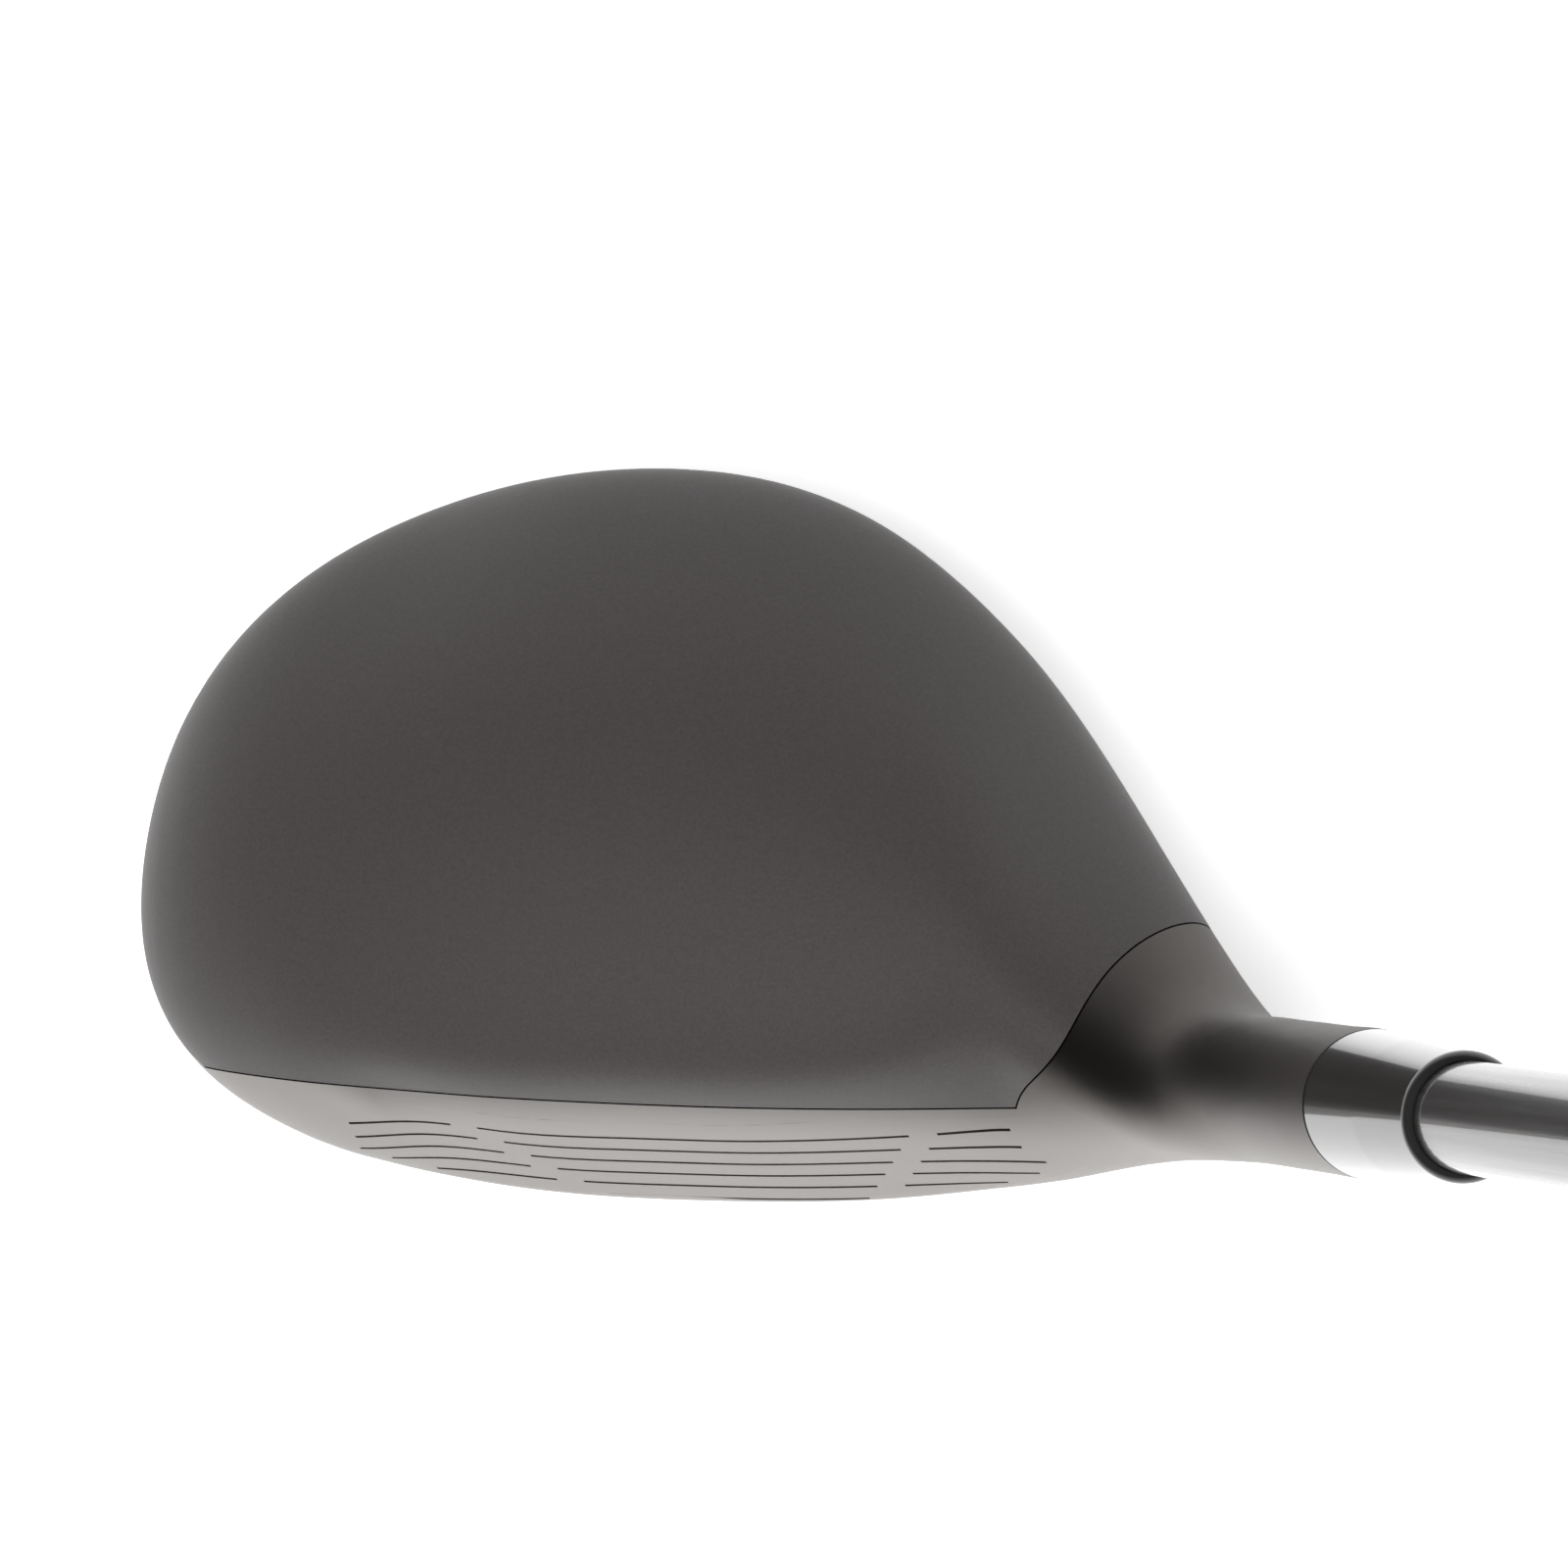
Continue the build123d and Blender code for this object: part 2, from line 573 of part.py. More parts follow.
# ---------------------------------------------------------------- weights inside the head
slug_front = WEIGHT_Y - FACE_SETBACK + port_radius + SLUG_GAP
slug_place = Pos(WEIGHT_X, slug_front + SLUG_DEPTH / 2, SLUG_TOP_Z)
from_top = (Align.CENTER, Align.CENTER, Align.MAX)
slug_block = slug_place * Box(SLUG_LENGTH, SLUG_DEPTH, CROWN_HEIGHT, align=from_top)
balance_slug = slug_block & hollow
melt_place = Pos(HOT_MELT_X, HOT_MELT_Y - FACE_SETBACK, HOT_MELT_TOP_Z)
melt_block = melt_place * Cylinder(HOT_MELT_RADIUS, CROWN_HEIGHT, align=from_top)
hot_melt_pad = melt_block & hollow

# ---------------------------------------------------------------- ferrule
shaft_start = bore_floor + GLUE_FLOOR
shaft_end = CLUB_LENGTH - GRIP_CAP_HEIGHT
ferrule_top = hosel_top + FERRULE_LENGTH
ferrule_middle = (hosel_top + ferrule_top) / 2
ferrule_middle_radius = (HOSEL_RADIUS + FERRULE_TOP_RADIUS) / 2 + FERRULE_SWELL
ferrule = turned([
    (hosel_top, FERRULE_BORE),
    (hosel_top, HOSEL_RADIUS - RIM_CHAMFER),
    (hosel_top + RIM_CHAMFER, HOSEL_RADIUS),
    (ferrule_middle, ferrule_middle_radius),
    (ferrule_top, FERRULE_TOP_RADIUS),
    (ferrule_top, FERRULE_BORE),
])
top_edges = ferrule.edges().filter_by(GeomType.CIRCLE).filter_by(
    lambda e: abs(e.radius - FERRULE_TOP_RADIUS) < 1e-4)
ferrule = fillet(top_edges, min(FERRULE_ROUND, FERRULE_ROUND_SHARE * FERRULE_TOP_WALL))

# ---------------------------------------------------------------- shaft
taper_start = hosel_top + TIP_PARALLEL
tip_inner = TIP_RADIUS - TIP_WALL
butt_inner = BUTT_RADIUS - BUTT_WALL


def shaft_radius(distance):
    """Outer radius of the shaft at a distance from the ground along its axis."""
    share = max(0.0, (distance - taper_start) / (shaft_end - taper_start))
    return TIP_RADIUS + (BUTT_RADIUS - TIP_RADIUS) * share


shaft_tube = turned([
    (shaft_start, tip_inner), (shaft_start, BARE_RADIUS), (ferrule_top, BARE_RADIUS),
    (ferrule_top + LACQUER_EDGE, TIP_RADIUS), (taper_start, TIP_RADIUS),
    (shaft_end, BUTT_RADIUS), (shaft_end, butt_inner), (taper_start, tip_inner),
])
hosel_epoxy = rod(BORE_RADIUS, bore_floor, hosel_top) - rod(BARE_RADIUS, shaft_start, hosel_top + 1.0)
tip_plug = rod(tip_inner - PLUG_CLEARANCE, shaft_start, shaft_start + PLUG_LENGTH)

# ---------------------------------------------------------------- grip
grip_start = CLUB_LENGTH - GRIP_LENGTH
tape_start = grip_start + TAPE_SETBACK
grip_tape = turned([
    (tape_start, shaft_radius(tape_start)), (tape_start, shaft_radius(tape_start) + GRIP_TAPE),
    (shaft_end, BUTT_RADIUS + GRIP_TAPE), (shaft_end, BUTT_RADIUS),
])
grip_sleeve = turned([
    (grip_start, shaft_radius(grip_start)),
    (grip_start, GRIP_MOUTH_RADIUS - GRIP_MOUTH_ROUND),
    (grip_start + GRIP_MOUTH_ROUND, GRIP_MOUTH_RADIUS),
    (shaft_end, GRIP_BUTT_RADIUS),
    (shaft_end, BUTT_RADIUS + GRIP_TAPE),
    (tape_start, shaft_radius(tape_start) + GRIP_TAPE),
    (tape_start, shaft_radius(tape_start)),
])
grip_end_cap = rod(GRIP_CAP_RADIUS, shaft_end, CLUB_LENGTH)
grip_end_cap = fillet(grip_end_cap.edges().filter_by(GeomType.CIRCLE).group_by(Axis.Z)[-1], GRIP_CAP_ROUND)
grip_end_cap -= rod(VENT_RADIUS, shaft_end - 1.0, CLUB_LENGTH + 1.0)

# ---------------------------------------------------------------- write the nodes
NODES = {
    "head_body": head_body,
    "face_plate": face_plate,
    "crown_shell": crown_shell,
    "crown_bond": crown_bond,
    "weight_port_cup": port_cup,
    "sole_weight_screw": sole_weight_screw,
    "weight_seal_ring": weight_seal_ring,
    "balance_slug": balance_slug,
    "hot_melt_pad": hot_melt_pad,
    "ferrule": ferrule,
    "hosel_epoxy": hosel_epoxy,
    "shaft_tip_plug": tip_plug,
    "shaft_tube": shaft_tube,
    "grip_tape": grip_tape,
    "grip_sleeve": grip_sleeve,
    "grip_end_cap": grip_end_cap,
}

os.makedirs("parts", exist_ok=True)
for name, piece in NODES.items():
    export_step(piece, f"parts/{name}.step")
    print(name, len(piece.solids()), round(piece.volume, 1))
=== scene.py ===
"""Looks of the fairway wood: finishes, moulded grip, floor, soft light and camera. In metres."""

import json
import math

import bmesh
import bpy
from mathutils import Euler, Matrix, Vector


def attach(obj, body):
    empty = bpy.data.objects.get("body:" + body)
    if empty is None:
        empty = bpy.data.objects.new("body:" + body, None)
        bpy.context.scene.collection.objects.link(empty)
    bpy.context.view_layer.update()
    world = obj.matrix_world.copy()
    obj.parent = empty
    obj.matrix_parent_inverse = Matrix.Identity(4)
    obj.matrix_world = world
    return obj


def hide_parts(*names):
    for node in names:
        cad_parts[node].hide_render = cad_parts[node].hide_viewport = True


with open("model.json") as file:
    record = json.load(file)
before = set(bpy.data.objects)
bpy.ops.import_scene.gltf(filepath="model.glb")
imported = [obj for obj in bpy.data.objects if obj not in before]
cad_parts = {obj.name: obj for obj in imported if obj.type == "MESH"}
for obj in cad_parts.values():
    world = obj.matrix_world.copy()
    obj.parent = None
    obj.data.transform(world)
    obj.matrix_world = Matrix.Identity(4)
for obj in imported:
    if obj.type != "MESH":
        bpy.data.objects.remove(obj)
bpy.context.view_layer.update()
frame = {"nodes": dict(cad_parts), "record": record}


# ---------------------------------------------------------------- places on the club
MOUNTS = {mount["name"]: mount for mount in frame["record"]["mounts"]}
AXIS = Vector(MOUNTS["grip_vent"]["axis"]).normalized()
BUTT = Vector(MOUNTS["grip_vent"]["pos_m"])
SHAFT_TILT = math.atan2(AXIS.x, AXIS.z)  # from upright, about Y

# ---------------------------------------------------------------- view
VIEW_TARGET = Vector((0.0050, 0.0165, 0.0153))
VIEW_TILT_HEEL = math.radians(16.0)      # from straight overhead
VIEW_TILT_BACK = math.radians(0.4)
VIEW_ROLL = math.radians(1.33)
VIEW_DISTANCE = 0.853
VIEW_FAR_END = 50.0
LENS = 216.0                             # in millimetres, like the sensor's width
SENSOR = 36.0

# ---------------------------------------------------------------- floor and light
FLOOR_SIZE = 40.0
FLOOR_DROP = 0.0002                      # how far the floor lies below the sole
FLOOR_WHITE = (0.80, 0.80, 0.80, 1)
FLOOR_ROUGHNESS = 0.9
FLOOR_GLOW = 0.60                        # only where it is seen, so that it lights nothing
WORLD_LEVEL = 0.70                       # the sky as a light; where it is seen it is 1
CEILING_DARK = 0.08
CEILING_EDGE = (0.10, 0.58)              # height where the sky's white starts to fade and ends
LAMP_PLACE = Vector((0.0, -0.3, 1.6))
LAMP_SIDE = 1.6
LAMP_POWER = 38.0

# ---------------------------------------------------------------- colours, linear
WHITE = (1, 1, 1, 1)
STEEL = (0.314, 0.299, 0.287, 1)
# darker tone behind the face: partly plating, partly a painted reflection of the dark ceiling on
# the neck's top
PLATING_AND_DARK_REFLECTION = (0.100, 0.092, 0.088, 1)
STEEL_SCREW = (0.400, 0.390, 0.380, 1)
CROWN_BLACK = (0.052, 0.0470, 0.0455, 1)
FERRULE_BLACK = (0.016, 0.0153, 0.015, 1)
SHAFT_GREY = (0.026, 0.0252, 0.025, 1)
GRIP_BLACK = (0.034, 0.034, 0.035, 1)
# painted shade for the floors of the grip's hatching grooves
GRIP_GROOVE_SHADE = (0.012, 0.012, 0.0125, 1)
SEAL_BLACK = (0.020, 0.020, 0.020, 1)
EPOXY_GREY = (0.080, 0.078, 0.074, 1)
MELT_AMBER = (0.640, 0.520, 0.260, 1)
TUNGSTEN = (0.300, 0.300, 0.310, 1)
NYLON = (0.780, 0.750, 0.680, 1)
TAPE_BUFF = (0.720, 0.660, 0.480, 1)

# ---------------------------------------------------------------- patterns
WHOLE = (0.0, 1.0)
NOISE_SPAN = (0.3, 0.7)                  # nearly all of a noise's values lie in here
NOISE_ROUGHNESS = 0.55
PLATING_REFLECTION_EDGE = (-0.0160, -0.0094)        # front to back, where bare steel runs into the darker plating and painted reflection
PLATING_REFLECTION_TOE = 0.030                      # nearer the toe than this, the edge sweeps back
PLATING_REFLECTION_SWEEP = 0.6                      # and by this much for each metre

# ---------------------------------------------------------------- grip
# places along the grip are measured up the shaft from the butt's vent
GRIP_BOTTOM = -0.2645
GRIP_TOP = -0.0025
GRIP_MOUTH_RADIUS = 0.0099
GRIP_MOUTH_ROUND = 0.0010
GRIP_BUTT_RADIUS = 0.0129
GRIP_BORE_BOTTOM = 0.0068
GRIP_BORE_TOP = 0.00778
GRIP_STEPS_AROUND = 176
GRIP_STEPS_ALONG = 440
GRIP_RELIEF = 0.00042                    # depth of the hatching
GRIP_PLAIN_END = (0.0035, 0.007)         # from an end: plain up to here, all hatched from here
GRIP_SHARP = math.radians(40)            # an edge keener than this stays crisp
GRIP_TOUCHING = 0.000001
HATCH_AROUND = 22                        # diamonds around the grip
HATCH_PITCH = 0.0056                     # and from one to the next along it
HATCH_EDGE = (0.05, 0.48)                # where a groove's floor ends and its wall tops out
BAND_PITCH = 0.0440                      # a hatched band and the plain ring after it
BAND_EDGE = (-0.80, -0.90)               # where the hatching fades into a plain ring


# ---------------------------------------------------------------- nodes
class NodeTree:
    """Helpers that add nodes to a tree and return the socket with the result."""

    def __init__(self, tree):
        self.tree = tree

    def feed(self, socket, value):
        """Set a socket to a plain number or colour, or link another node's result to it."""
        if isinstance(value, bpy.types.NodeSocket):
            self.tree.links.new(value, socket)
        else:
            socket.default_value = value

    def add(self, kind, inputs, result, **settings):
        """Add a node, feed its inputs and return the socket of its result."""
        node = self.tree.nodes.new(kind)
        for name, value in settings.items():
            setattr(node, name, value)
        for name, value in inputs.items():
            self.feed(node.inputs[name], value)
        return node.outputs[result]

    def reckon(self, operation, first, second=0.0):
        """One step of arithmetic on values or plain numbers."""
        return self.add("ShaderNodeMath", {0: first, 1: second}, 0, operation=operation)

    def ranged(self, value, span, to, ease="LINEAR"):
        """Turn one span of a value into another."""
        inputs = {"Value": value, "From Min": span[0], "From Max": span[1],
                  "To Min": to[0], "To Max": to[1]}
        return self.add("ShaderNodeMapRange", inputs, "Result", interpolation_type=ease)

    def split(self, vector):
        """The X, Y and Z of a vector, each as a socket."""
        node = self.tree.nodes.new("ShaderNodeSeparateXYZ")
        self.feed(node.inputs["Vector"], vector)
        return node.outputs["X"], node.outputs["Y"], node.outputs["Z"]

    def seen(self):
        """1 for what is seen directly, in a reflection or through glass, and 0 otherwise."""
        path = self.tree.nodes.new("ShaderNodeLightPath").outputs
        mirrored = self.reckon("MAXIMUM", path["Is Camera Ray"], path["Is Glossy Ray"])
        return self.reckon("MAXIMUM", mirrored, path["Is Transmission Ray"])


class Finish(NodeTree):
    """A Principled material with the few kinds of pattern that this club needs."""

    def __init__(self, name, colour, roughness, metallic=0.0):
        self.material = bpy.data.materials.new(name)
        self.material.use_nodes = True
        super().__init__(self.material.node_tree)
        self.shader = self.tree.nodes["Principled BSDF"]
        self.colour = colour
        self.painted = None
        self.set("Base Color", colour)
        self.set("Roughness", roughness)
        self.set("Metallic", metallic)

    def set(self, name, value):
        """Give one of the shader's sockets a plain value or another node's result."""
        self.feed(self.shader.inputs[name], value)

    def place(self):
        """A point's place on the club."""
        return self.add("ShaderNodeTexCoord", {}, "Object")

    def shaft_place(self):
        """A point's place with the shaft's axis as Z and the butt's vent at the origin."""
        turn = Euler((0.0, -SHAFT_TILT, 0.0))
        inputs = {"Vector": self.place(), "Rotation": turn,
                  "Location": -(turn.to_matrix() @ BUTT)}
        return self.add("ShaderNodeMapping", inputs, "Vector")

    def noise(self, place, scale, detail=3.0):
        """Cloudy noise, its scale per metre."""
        inputs = {"Vector": place, "Scale": scale, "Detail": detail,
                  "Roughness": NOISE_ROUGHNESS}
        return self.add("ShaderNodeTexNoise", inputs, "Fac")

    def drawn_noise(self, place, scales):
        """Noise drawn out along an axis, with a scale per metre for each."""
        drawn = self.add("ShaderNodeMapping", {"Vector": place, "Scale": scales}, "Vector")
        return self.noise(drawn, scale=1.0)

    def paint(self, start, end, share):
        """A base colour that goes from start to end by a share."""
        inputs = {"A": start, "B": end, "Factor": share}
        self.painted = self.add("ShaderNodeMix", inputs, "Result", data_type="RGBA")
        self.set("Base Color", self.painted)

    def tint(self, pattern, spread):
        """Vary the base colour's lightness by a share either way."""
        dark = [level * (1 - spread) for level in self.colour[:3]] + [1]
        light = [level * (1 + spread) for level in self.colour[:3]] + [1]
        self.paint(dark, light, self.ranged(pattern, NOISE_SPAN, WHOLE))

    def rough(self, pattern, low, high):
        """Vary the roughness between two levels."""
        self.set("Roughness", self.ranged(pattern, NOISE_SPAN, (low, high)))

    def bump(self, pattern, depth, strength):
        """Fine relief, its depth in metres."""
        inputs = {"Height": pattern, "Distance": depth, "Strength": strength}
        self.set("Normal", self.add("ShaderNodeBump", inputs, "Normal"))

    def lacquer(self, roughness):
        """A clear coat over everything else."""
        self.set("Coat Weight", 1.0)
        self.set("Coat Roughness", roughness)


# ---------------------------------------------------------------- finishes
def fine_steel(name, colour, roughness):
    """Cast steel with a fine even satin."""
    finish = Finish(name, colour, roughness, metallic=1.0)
    speck = finish.noise(finish.place(), scale=4200.0, detail=2.0)
    cloud = finish.noise(finish.place(), scale=48.0)
    finish.tint(cloud, spread=0.05)
    finish.rough(cloud, low=roughness - 0.03, high=roughness + 0.04)
    finish.bump(speck, depth=0.00001, strength=0.25)
    return finish


def head_steel():
    """Body and face in one satin: bare in front, running behind into a darker tone that is
    partly plating and partly a painted reflection of the dark ceiling on the neck's top.
    """
    finish = fine_steel("head_satin", STEEL, roughness=0.50)
    # painted reflection: the darker tone behind is partly plating and partly the dark ceiling
    # mirrored on the neck's top
    across, back, _ = finish.split(finish.place())
    past_toe = finish.reckon("SUBTRACT", finish.reckon("MULTIPLY", across, -1.0), PLATING_REFLECTION_TOE)
    sweep = finish.reckon("MULTIPLY", finish.reckon("MAXIMUM", past_toe, 0.0), PLATING_REFLECTION_SWEEP)
    behind = finish.reckon("SUBTRACT", back, sweep)
    plating_and_reflection_share = finish.ranged(behind, PLATING_REFLECTION_EDGE, WHOLE, ease="SMOOTHSTEP")
    finish.paint(finish.painted, PLATING_AND_DARK_REFLECTION, plating_and_reflection_share)
    return finish.material


def turned_steel(name, colour, roughness):
    """Bright steel with the rings a lathe leaves."""
    finish = Finish(name, colour, roughness, metallic=1.0)
    rings = finish.drawn_noise(finish.place(), scales=(300, 300, 9000))
    finish.tint(rings, spread=0.07)
    finish.rough(rings, low=roughness - 0.05, high=roughness + 0.05)
    finish.bump(rings, depth=0.00002, strength=0.35)
    return finish.material


def matte_crown():
    """Matt black paint with a very fine speck in it."""
    finish = Finish("crown_matte_black", CROWN_BLACK, roughness=0.48)
    finish.set("Specular IOR Level", 0.4)
    speck = finish.noise(finish.place(), scale=3400.0, detail=2.0)
    cloud = finish.noise(finish.place(), scale=22.0)
    finish.tint(speck, spread=0.12)
    finish.rough(cloud, low=0.45, high=0.52)
    finish.bump(speck, depth=0.00001, strength=0.25)
    return finish.material


def gloss_black(name, colour, roughness):
    """Polished black plastic under a clear coat."""
    finish = Finish(name, colour, roughness)
    cloud = finish.noise(finish.place(), scale=120.0)
    finish.tint(cloud, spread=0.06)
    finish.lacquer(roughness=0.05)
    finish.bump(cloud, depth=0.00001, strength=0.10)
    return finish.material


def shaft_lacquer():
    """Dark composite with its fibres along the shaft, under clear lacquer."""
    finish = Finish("shaft_lacquer", SHAFT_GREY, roughness=0.30)
    fibres = finish.drawn_noise(finish.shaft_place(), scales=(1500, 1500, 26))
    finish.tint(fibres, spread=0.12)
    finish.rough(fibres, low=0.26, high=0.36)
    finish.lacquer(roughness=0.04)
    return finish.material


def grip_rubber():
    """Soft rubber, with painted shade down in the hatching's grooves."""
    finish = Finish("grip_rubber", GRIP_BLACK, roughness=0.70)
    reckon = finish.reckon
    x, y, along = finish.split(finish.shaft_place())
    around = reckon("MULTIPLY", reckon("ARCTAN2", y, x), HATCH_AROUND / 2)
    climb = reckon("MULTIPLY", along, math.pi / HATCH_PITCH)
    left = reckon("ABSOLUTE", reckon("SINE", reckon("ADD", around, climb)))
    right = reckon("ABSOLUTE", reckon("SINE", reckon("SUBTRACT", around, climb)))
    groove = reckon("MINIMUM", left, right)
    raised = finish.ranged(groove, HATCH_EDGE, WHOLE, ease="SMOOTHSTEP")
    wave = reckon("SINE", reckon("MULTIPLY", along, 2 * math.pi / BAND_PITCH))
    plain_ring = reckon("LESS_THAN", wave, BAND_EDGE[1])
    from_mouth = reckon("SUBTRACT", along, GRIP_BOTTOM)
    from_butt = reckon("SUBTRACT", GRIP_TOP, along)
    near_end = reckon("MINIMUM", from_mouth, from_butt)
    plain_end = reckon("LESS_THAN", near_end, sum(GRIP_PLAIN_END) / 2)
    height = reckon("MAXIMUM", raised, reckon("MAXIMUM", plain_ring, plain_end))
    # painted shade: darker down in the grooves of the hatching
    finish.paint(GRIP_GROOVE_SHADE, GRIP_BLACK, height)
    grain = finish.noise(finish.place(), scale=2600.0, detail=2.0)
    finish.rough(grain, low=0.64, high=0.76)
    finish.bump(grain, depth=0.00003, strength=0.5)
    return finish.material


def soft_plain(name, colour, roughness, scale=300.0, spread=0.08):
    """A plain soft material, a little uneven in colour and sheen."""
    finish = Finish(name, colour, roughness)
    cloud = finish.noise(finish.place(), scale)
    finish.tint(cloud, spread)
    finish.rough(cloud, low=roughness - 0.04, high=roughness + 0.04)
    finish.bump(cloud, depth=0.00003, strength=0.3)
    return finish.material


HEAD_STEEL = head_steel()
GRIP_RUBBER = grip_rubber()

FINISHES = {
    "head_body": HEAD_STEEL,
    "face_plate": HEAD_STEEL,
    "crown_shell": matte_crown(),
    "crown_bond": soft_plain("crown_adhesive", EPOXY_GREY, roughness=0.40),
    "weight_port_cup": HEAD_STEEL,
    "sole_weight_screw": turned_steel("screw_satin", STEEL_SCREW, roughness=0.28),
    "weight_seal_ring": soft_plain("seal_black", SEAL_BLACK, roughness=0.60),
    "balance_slug": fine_steel("slug_sintered", TUNGSTEN, roughness=0.50).material,
    "hot_melt_pad": soft_plain("hot_melt_amber", MELT_AMBER, roughness=0.35),
    "ferrule": gloss_black("ferrule_gloss", FERRULE_BLACK, roughness=0.16),
    "hosel_epoxy": soft_plain("hosel_adhesive", EPOXY_GREY, roughness=0.35),
    "shaft_tip_plug": soft_plain("plug_nylon", NYLON, roughness=0.45),
    "shaft_tube": shaft_lacquer(),
    "grip_tape": soft_plain("tape_buff", TAPE_BUFF, roughness=0.80),
    "grip_sleeve": GRIP_RUBBER,
    "grip_end_cap": soft_plain("cap_rubber", GRIP_BLACK, roughness=0.62, scale=1400.0,
                               spread=0.15),
}


def finish_node(node, material):
    """Give a CAD node its finish. Its shape and its smooth normals stay as they are."""
    mesh = frame["nodes"][node].data
    mesh.materials.clear()
    mesh.materials.append(material)


for node, material in FINISHES.items():
    finish_node(node, material)


# ---------------------------------------------------------------- grip
def eased(value, start, end):
    """0 before start, 1 after end, and a smooth rise between them."""
    share = min(1.0, max(0.0, (value - start) / (end - start)))
    return share * share * (3 - 2 * share)


def hatch_height(angle, along):
    """0 at the bottom of a groove and 1 on the grip's own surface."""
    around = angle * HATCH_AROUND / 2
    climb = along * math.pi / HATCH_PITCH
    groove = min(abs(math.sin(around + climb)), abs(math.sin(around - climb)))
    raised = eased(groove, *HATCH_EDGE)
    wave = math.sin(along * 2 * math.pi / BAND_PITCH)
    plain_ring = eased(wave, *BAND_EDGE)
    near_end = min(along - GRIP_BOTTOM, GRIP_TOP - along)
    plain_end = 1 - eased(near_end, *GRIP_PLAIN_END)
    return max(raised, plain_ring, plain_end)


def sink_hatching(sleeve):
    """Press the hatching into the outside of a sleeve that stands on the Z axis."""
    for vert in sleeve.verts:
        radius = math.hypot(vert.co.x, vert.co.y)
        if radius < GRIP_MOUTH_RADIUS - GRIP_TOUCHING:
            continue
        sunk = GRIP_RELIEF * (1 - hatch_height(math.atan2(vert.co.y, vert.co.x), vert.co.z))
        vert.co.x *= 1 - sunk / radius
        vert.co.y *= 1 - sunk / radius


def moulded_grip():
    """The rubber sleeve turned about the shaft's axis, its hatching sunk into the outside."""
    corners = [
        (GRIP_BORE_BOTTOM, GRIP_BOTTOM),
        (GRIP_MOUTH_RADIUS - GRIP_MOUTH_ROUND, GRIP_BOTTOM),
        (GRIP_MOUTH_RADIUS, GRIP_BOTTOM + GRIP_MOUTH_ROUND),
        (GRIP_BUTT_RADIUS, GRIP_TOP),
        (GRIP_BORE_TOP, GRIP_TOP),
    ]
    sleeve = bmesh.new()
    ring = [sleeve.verts.new((radius, 0, along)) for radius, along in corners]
    sides = [sleeve.edges.new((ring[k - 1], ring[k])) for k in range(len(ring))]
    outside = sides[3]  # from the mouth's rounding up to the butt
    bmesh.ops.subdivide_edges(sleeve, edges=[outside], cuts=GRIP_STEPS_ALONG - 1)
    bmesh.ops.spin(sleeve, geom=sleeve.verts[:] + sleeve.edges[:], cent=(0, 0, 0),
                   axis=(0, 0, 1), angle=2 * math.pi, steps=GRIP_STEPS_AROUND, use_merge=True)
    bmesh.ops.remove_doubles(sleeve, verts=sleeve.verts, dist=GRIP_TOUCHING)
    bmesh.ops.recalc_face_normals(sleeve, faces=sleeve.faces)
    sink_hatching(sleeve)
    on_shaft = Matrix.Translation(BUTT) @ Matrix.Rotation(SHAFT_TILT, 4, "Y")
    bmesh.ops.transform(sleeve, matrix=on_shaft, verts=sleeve.verts)
    mesh = bpy.data.meshes.new("grip_moulded")
    sleeve.to_mesh(mesh)
    sleeve.free()
    mesh.shade_smooth()
    mesh.set_sharp_from_angle(angle=GRIP_SHARP)
    mesh.materials.append(GRIP_RUBBER)
    piece = bpy.data.objects.new("grip_moulded", mesh)
    bpy.context.scene.collection.objects.link(piece)
    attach(piece, "root")
    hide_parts("grip_sleeve")


moulded_grip()


# ---------------------------------------------------------------- floor, light and camera
def make_world():
    """White all round, with a dark opening overhead where the camera looks through."""
    world = bpy.data.worlds.new("studio")
    bpy.context.scene.world = world
    world.use_nodes = True
    sky = NodeTree(world.node_tree)
    _, _, height = sky.split(sky.add("ShaderNodeTexCoord", {}, "Generated"))
    ceiling = sky.ranged(height, CEILING_EDGE, (1.0, CEILING_DARK), ease="SMOOTHSTEP")
    level = sky.ranged(sky.seen(), WHOLE, (WORLD_LEVEL, 1.0))
    background = sky.tree.nodes["Background"]
    sky.feed(background.inputs["Color"], ceiling)
    sky.feed(background.inputs["Strength"], level)


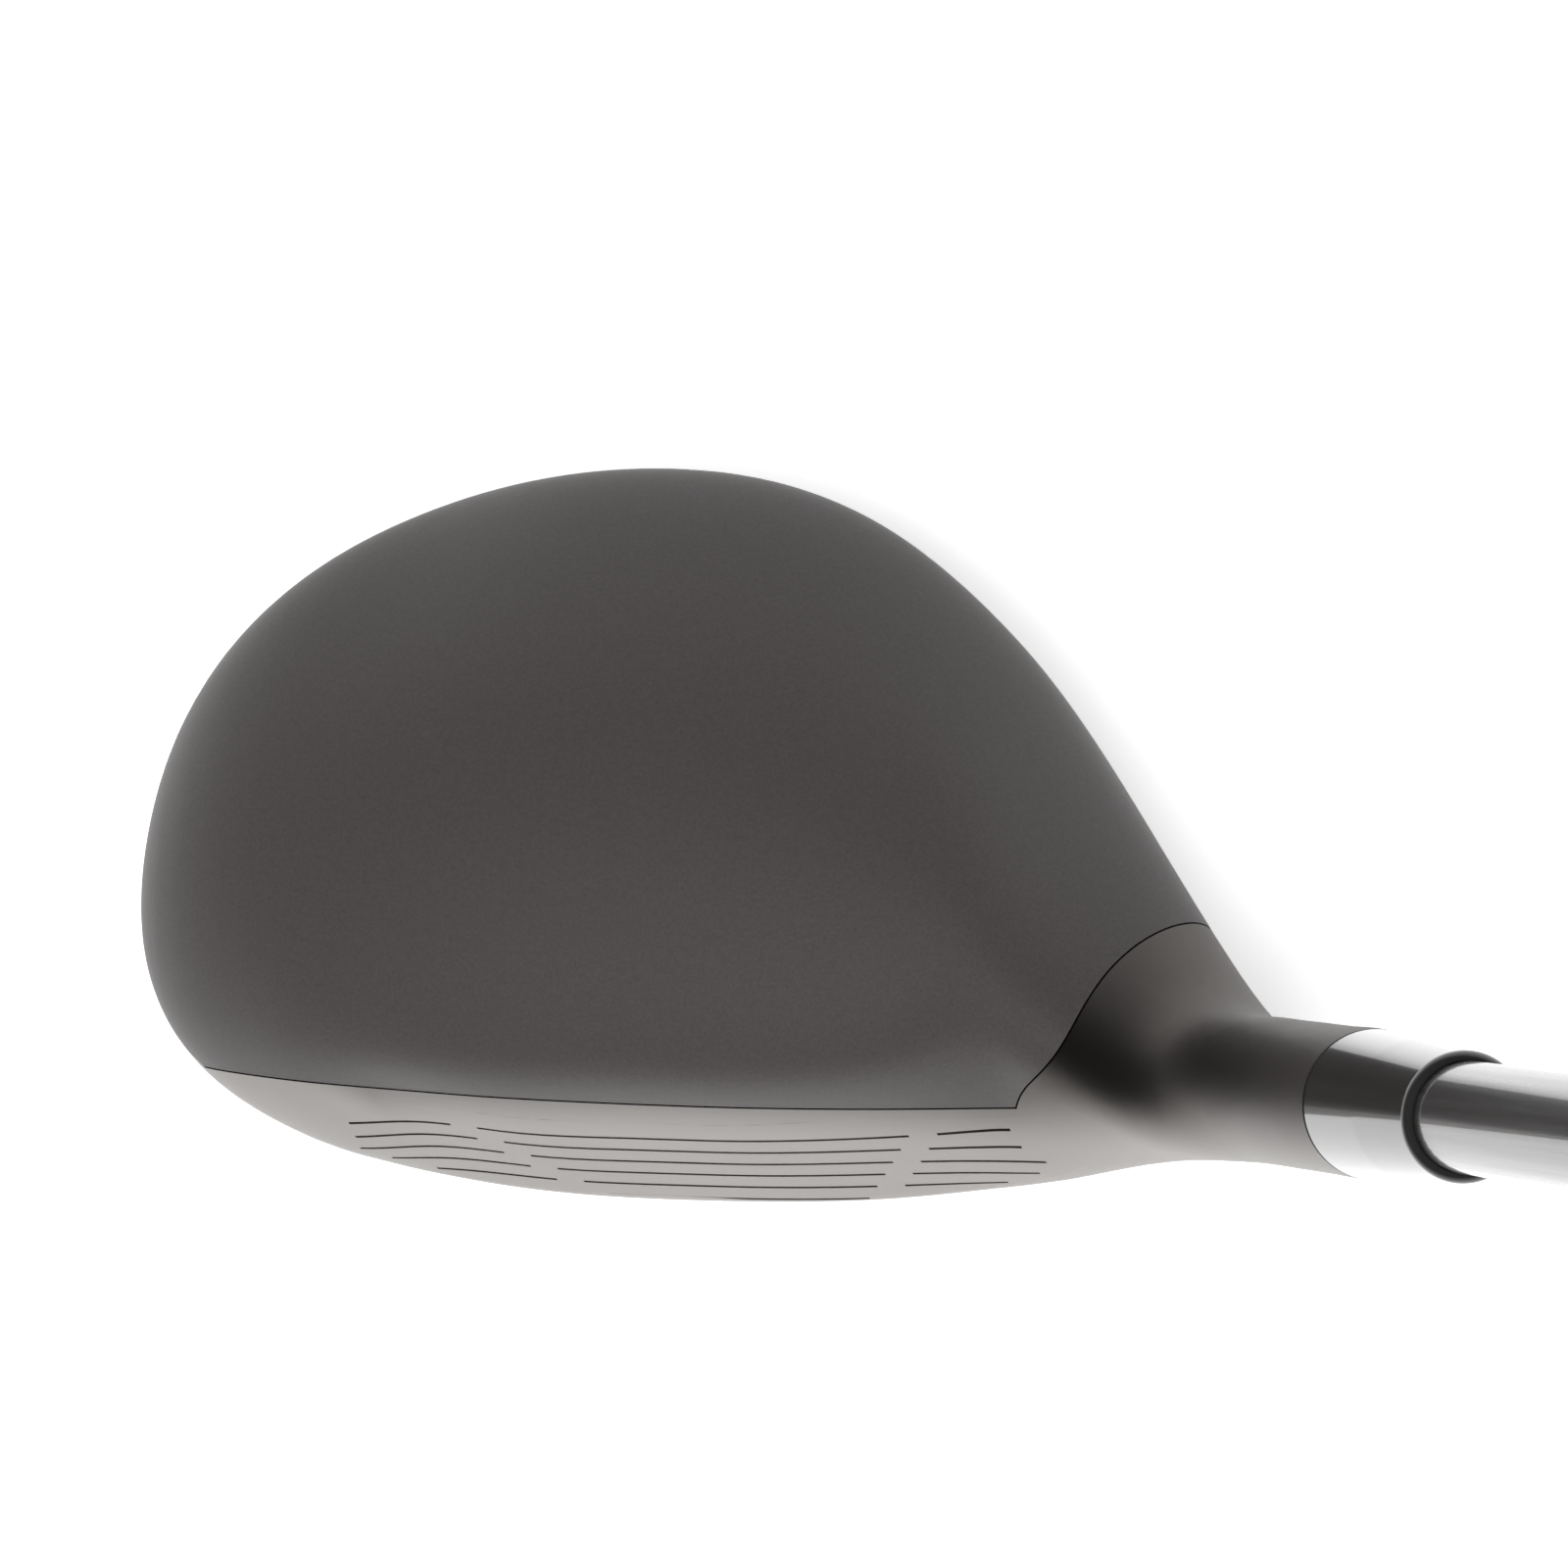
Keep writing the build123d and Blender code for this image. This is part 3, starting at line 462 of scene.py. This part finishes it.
def make_floor():
    """A white sheet that glows only where it is seen, so it keeps the club's shadow."""
    mesh = bpy.data.meshes.new("floor")
    sheet = bmesh.new()
    bmesh.ops.create_grid(sheet, x_segments=1, y_segments=1, size=FLOOR_SIZE / 2)
    bmesh.ops.translate(sheet, verts=sheet.verts, vec=(0, 0, -FLOOR_DROP))
    sheet.to_mesh(mesh)
    sheet.free()
    finish = Finish("floor_white", FLOOR_WHITE, FLOOR_ROUGHNESS)
    finish.set("Specular IOR Level", 0.0)
    finish.set("Emission Color", WHITE)
    finish.set("Emission Strength", finish.reckon("MULTIPLY", finish.seen(), FLOOR_GLOW))
    mesh.materials.append(finish.material)
    floor = bpy.data.objects.new("floor", mesh)
    bpy.context.scene.collection.objects.link(floor)


def make_softbox():
    """A large soft lamp overhead, turned to the sole and left out of reflections."""
    lamp = bpy.data.lights.new("overhead", "AREA")
    lamp.shape = "RECTANGLE"
    lamp.size = LAMP_SIDE
    lamp.size_y = LAMP_SIDE
    lamp.energy = LAMP_POWER
    box = bpy.data.objects.new("overhead", lamp)
    box.location = LAMP_PLACE
    box.rotation_euler = (-LAMP_PLACE).to_track_quat("-Z", "Y").to_euler()
    box.visible_glossy = False
    bpy.context.scene.collection.objects.link(box)


def make_camera():
    """The player's view of the head, from overhead and a little to the heel."""
    tilt = Vector((
        math.sin(VIEW_TILT_HEEL) * math.cos(VIEW_TILT_BACK),
        math.sin(VIEW_TILT_BACK),
        math.cos(VIEW_TILT_HEEL) * math.cos(VIEW_TILT_BACK),
    ))
    level_right = Vector((0, 1, 0)).cross(tilt).normalized()
    level_up = tilt.cross(level_right)
    right = level_right * math.cos(VIEW_ROLL) + level_up * math.sin(VIEW_ROLL)
    up = tilt.cross(right)
    place = VIEW_TARGET + tilt * VIEW_DISTANCE
    camera_data = bpy.data.cameras.new("camera")
    camera_data.lens = LENS
    camera_data.sensor_width = SENSOR
    camera_data.clip_end = VIEW_FAR_END
    camera = bpy.data.objects.new("camera", camera_data)
    camera.matrix_world = Matrix((
        (right.x, up.x, tilt.x, place.x),
        (right.y, up.y, tilt.y, place.y),
        (right.z, up.z, tilt.z, place.z),
        (0, 0, 0, 1),
    ))
    bpy.context.scene.collection.objects.link(camera)
    bpy.context.scene.camera = camera


make_world()
make_floor()
make_softbox()
make_camera()
bpy.context.scene.view_settings.view_transform = "Standard"
